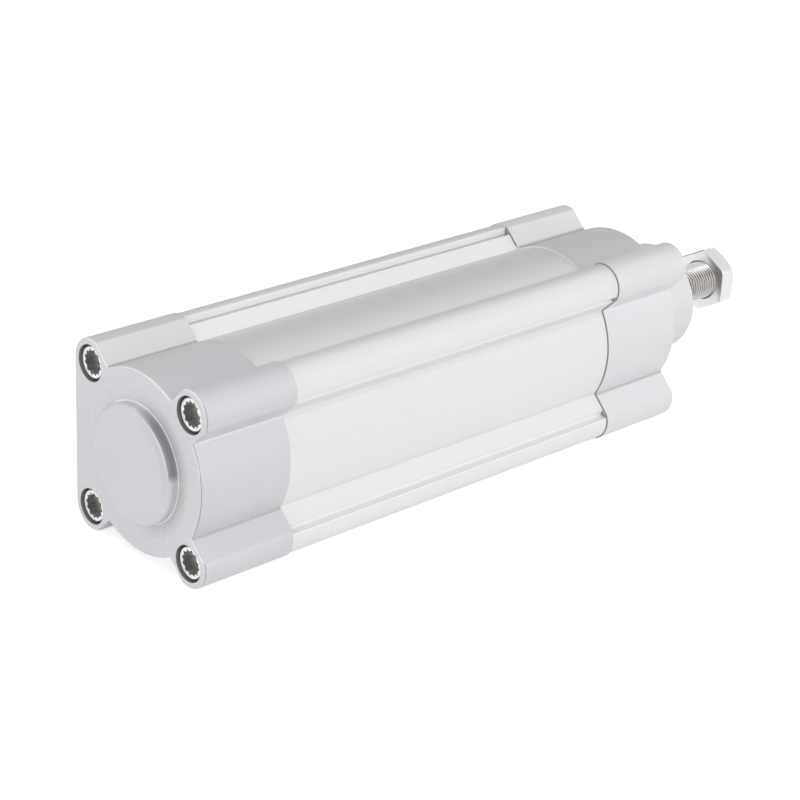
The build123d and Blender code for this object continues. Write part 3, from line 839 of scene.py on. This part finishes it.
def faced_nut(name):
    """Pale zinc on a nut whose turned face has a painted reflection, bright in two sectors and
    darker between them.
    """
    bench = material_bench(name)
    rings = bench.lathe_marks()
    clouds = bench.noise(420, detail=4)
    x = bench.axes()[0]
    facing_x, facing_y, facing_z = bench.facing()
    # the face toward the cylinder painted near white and the face toward the rod end painted
    # darker: painted light and shade
    rear_face = bench.ramp(facing_x, -0.8, -0.9)
    front_face = bench.ramp(facing_x, 0.8, 0.9)
    # painted reflection: a darker sector across the bright face
    sheen_dark_sector = bench.rise(bench.towards(-0.9, 0.44), 6.5, 10.0)
    # painted shade on the flats that face up
    upper = bench.ramp(facing_z, 0.7, 0.85) * bench.ramp(facing_y, 0.2, 0)
    worn = bench.rise(bench.off_axis(), 13.3, 13.6) * bench.ramp(bench.noise(900), 0.48, 0.62)
    # painted shade along one far edge of the hexagon
    far_rim = bench.rise(bench.towards(0.5, 0.866), 11.45, 11.6) * bench.rise(x, 305.0, 304.0)
    shade = bench.painted(
        bench.tint(clouds * 0.6 + rings * 0.4, (0.66, 0.67, 0.67), (0.78, 0.79, 0.785)),
        (rear_face, grey(0.98)),
        (rear_face * sheen_dark_sector, grey(0.42)),
        (front_face, grey(0.5)),
        (upper, (0.51, 0.525, 0.52)),
        (worn * 0.5, grey(0.95)),
        (far_rim, grey(0.42)),
    )
    return bench.done(Base_Color=shade, Metallic=0.7, Normal=bench.turned_relief(rings),
                      Roughness=bench.between(clouds * 0.5 + rings * 0.5, 0.26, 0.44))


def moulded(name, colour, second, rough, scale=900, metal=0.0):
    """Rubber, plastic or sintered metal with a fine even grain."""
    bench = material_bench(name)
    grain = bench.noise(scale, detail=4, roughness=0.65)
    clouds = bench.noise(scale / 12, detail=2)
    shade = bench.tint(grain * 0.5 + clouds * 0.5, colour, second)
    return bench.done(Base_Color=shade, Metallic=metal, Normal=bench.relief(grain, 0.00001),
                      Roughness=bench.between(grain, rough - 0.08, rough + 0.08))


finishes = {
    "cap_aluminium": blasted_casting("blasted_cap", (0.662, 0.657, 0.684), 0.15, 0.48),
    "anodised_aluminium": drawn_extrusion("anodised_barrel", (0.86, 0.86, 0.865), 0.05, 0.5),
    "zinc_plated_steel": plated_screw("zinc_plate"),
    "nut_steel": faced_nut("nut_zinc"),
    "rod_steel": rolled_thread("rolled_rod"),
    "seal_rubber": moulded("seal_rubber", (0.018, 0.018, 0.019), (0.035, 0.035, 0.036), 0.62),
    "guide_plastic": moulded("guide_strip", (0.07, 0.075, 0.09), (0.11, 0.115, 0.13), 0.5, 600),
    "magnet_plastic": moulded("bonded_magnet", (0.035, 0.034, 0.033), (0.06, 0.058, 0.055), 0.55,
                              1400),
    "piston_aluminium": turned_metal("turned_piston", grey(0.62), grey(0.74), 0.32),
    "sleeve_aluminium": turned_metal("polished_sleeve", grey(0.66), grey(0.78), 0.2),
    "bearing_bronze": moulded("sintered_bronze", (0.30, 0.20, 0.10), (0.42, 0.29, 0.16), 0.45, 2500,
                              metal=0.9),
    "needle_brass": turned_metal("turned_brass", (0.62, 0.46, 0.20), (0.74, 0.58, 0.30), 0.26),
}

for part in frame["record"]["subparts"]:
    node = frame["nodes"][part["node"]]
    node.data.materials.clear()
    node.data.materials.append(finishes[part["material_slot"]])

dressed = [
    add_piece("barrel_extrusion", make_barrel(), "housing", "anodised_aluminium", "barrel"),
    add_piece("rear_cover_screws", make_cover_screws("rear_cover_screws", front=False), "housing",
              "zinc_plated_steel", "rear_cap_screws"),
    add_piece("front_cover_screws", make_cover_screws("front_cover_screws", front=True), "housing",
              "zinc_plated_steel", "front_cap_screws"),
    add_piece("rod_with_thread", make_rod(), "rod", "rod_steel", "piston_rod"),
    add_piece("hexagon_nut", make_rod_nut(), "rod_nut", "nut_steel", "rod_nut"),
    add_piece("rear_port_thread", make_port_thread(front=False), "housing", "cap_aluminium"),
    add_piece("front_port_thread", make_port_thread(front=True), "housing", "cap_aluminium"),
]
for piece in dressed:
    piece.data.materials.append(finishes[piece["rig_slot"]])


# ---- floor, light and camera


def seen_rays(bench):
    """1 for what the camera sees, straight or in gloss or glass, and 0 for plain light."""
    path = bench.node("ShaderNodeLightPath", output="Is Camera Ray")
    glossy = Amount(bench, path.socket.node.outputs["Is Glossy Ray"])
    through = Amount(bench, path.socket.node.outputs["Is Transmission Ray"])
    return path.maths("MAXIMUM", path.maths("MAXIMUM", path, glossy), through)


def add_floor(middle, half_side, gap, white, glow):
    """A plain white floor under the caps that keeps a soft shadow."""
    data = bpy.data.meshes.new("studio_floor")
    mesh = bmesh.new()
    bmesh.ops.create_grid(mesh, x_segments=2, y_segments=2, size=half_side)
    bmesh.ops.translate(mesh, verts=mesh.verts, vec=(middle, 0, cad_box[0][2] - gap))
    mesh.to_mesh(data)
    mesh.free()
    floor = bpy.data.objects.new("studio_floor", data)
    bpy.context.scene.collection.objects.link(floor)
    bench = material_bench("studio_white")
    paint = bench.node("ShaderNodeBsdfDiffuse", sockets={"Color": (*grey(white), 1)})
    light = bench.node("ShaderNodeEmission",
                       sockets={"Color": WHITE, "Strength": seen_rays(bench) * glow})
    both = bench.node("ShaderNodeAddShader", sockets={0: paint, 1: light})
    bench.node("ShaderNodeOutputMaterial", sockets={"Surface": both})
    data.materials.append(bench.owner)


def add_world(level):
    """A white background that lights the piece with only the given strength."""
    world = bpy.data.worlds.new("studio")
    bpy.context.scene.world = world
    bench = Bench(world)
    strength = seen_rays(bench) * (1 - level) + level
    sky = bench.node("ShaderNodeBackground", sockets={"Color": WHITE, "Strength": strength})
    bench.node("ShaderNodeOutputWorld", sockets={"Surface": sky})


def add_softbox(name, place, aim, size, power):
    """A rectangular lamp that looks at the aim."""
    lamp = bpy.data.lights.new(name, "AREA")
    lamp.shape = "RECTANGLE"
    lamp.size, lamp.size_y = size
    lamp.energy = power
    box = bpy.data.objects.new(name, lamp)
    box.location = place
    box.rotation_euler = (Vector(aim) - Vector(place)).to_track_quat("-Z", "Y").to_euler()
    bpy.context.scene.collection.objects.link(box)


def add_camera():
    """The photograph's viewpoint, found from the drawing sizes in it."""
    place = Vector((-0.435678, -0.579839, 0.345273))
    right = Vector((0.731262, -0.680643, 0.044507))
    up = Vector((0.244736, 0.322724, 0.914305))
    back = Vector((-0.636679, -0.657704, 0.402574))
    lens = bpy.data.cameras.new("photo_view")
    lens.sensor_width = 36
    lens.lens = 102.575
    lens.clip_start = 0.01
    lens.clip_end = 20
    eye = bpy.data.objects.new("photo_view", lens)
    turned_eye = Matrix((right, up, back)).transposed().to_4x4()
    eye.matrix_world = Matrix.Translation(place) @ turned_eye
    bpy.context.scene.collection.objects.link(eye)
    bpy.context.scene.camera = eye


add_floor(middle=0.16, half_side=1.3, gap=0.0001, white=0.9, glow=0.6)
add_world(level=0.25)
aim = (0.13, 0, 0)  # about the middle of the cylinder
for name, place, size, power in (
    ("low_right", (0.15, -1.2, 0.03), (1.3, 0.12), 2.3),
    ("middle_right", (0.15, -1.15, 0.7), (1.3, 0.6), 2.75),
    ("rear_right", (-0.8, -0.95, 0.35), (0.8, 0.8), 2.1),
    ("rod_side", (1.5, 0.0, 0.2), (0.7, 0.7), 7.4),
    ("rod_side_right", (1.0, -0.9, 0.35), (0.8, 0.8), 2.1),
    ("rod_side_top", (0.9, -0.3, 1.0), (0.7, 0.7), 1.6),
    ("near_side", (-1.25, -0.1, 0.2), (0.7, 0.7), 6.6),
    ("near_left", (-1.0, 0.8, 0.5), (0.5, 0.5), 0.9),
    ("rear_top_near", (-0.12, 0.05, 0.4), (0.2, 0.2), 0.3),
):
    add_softbox(name, place, aim, size, power)
add_camera()
bpy.context.scene.view_settings.view_transform = "Standard"
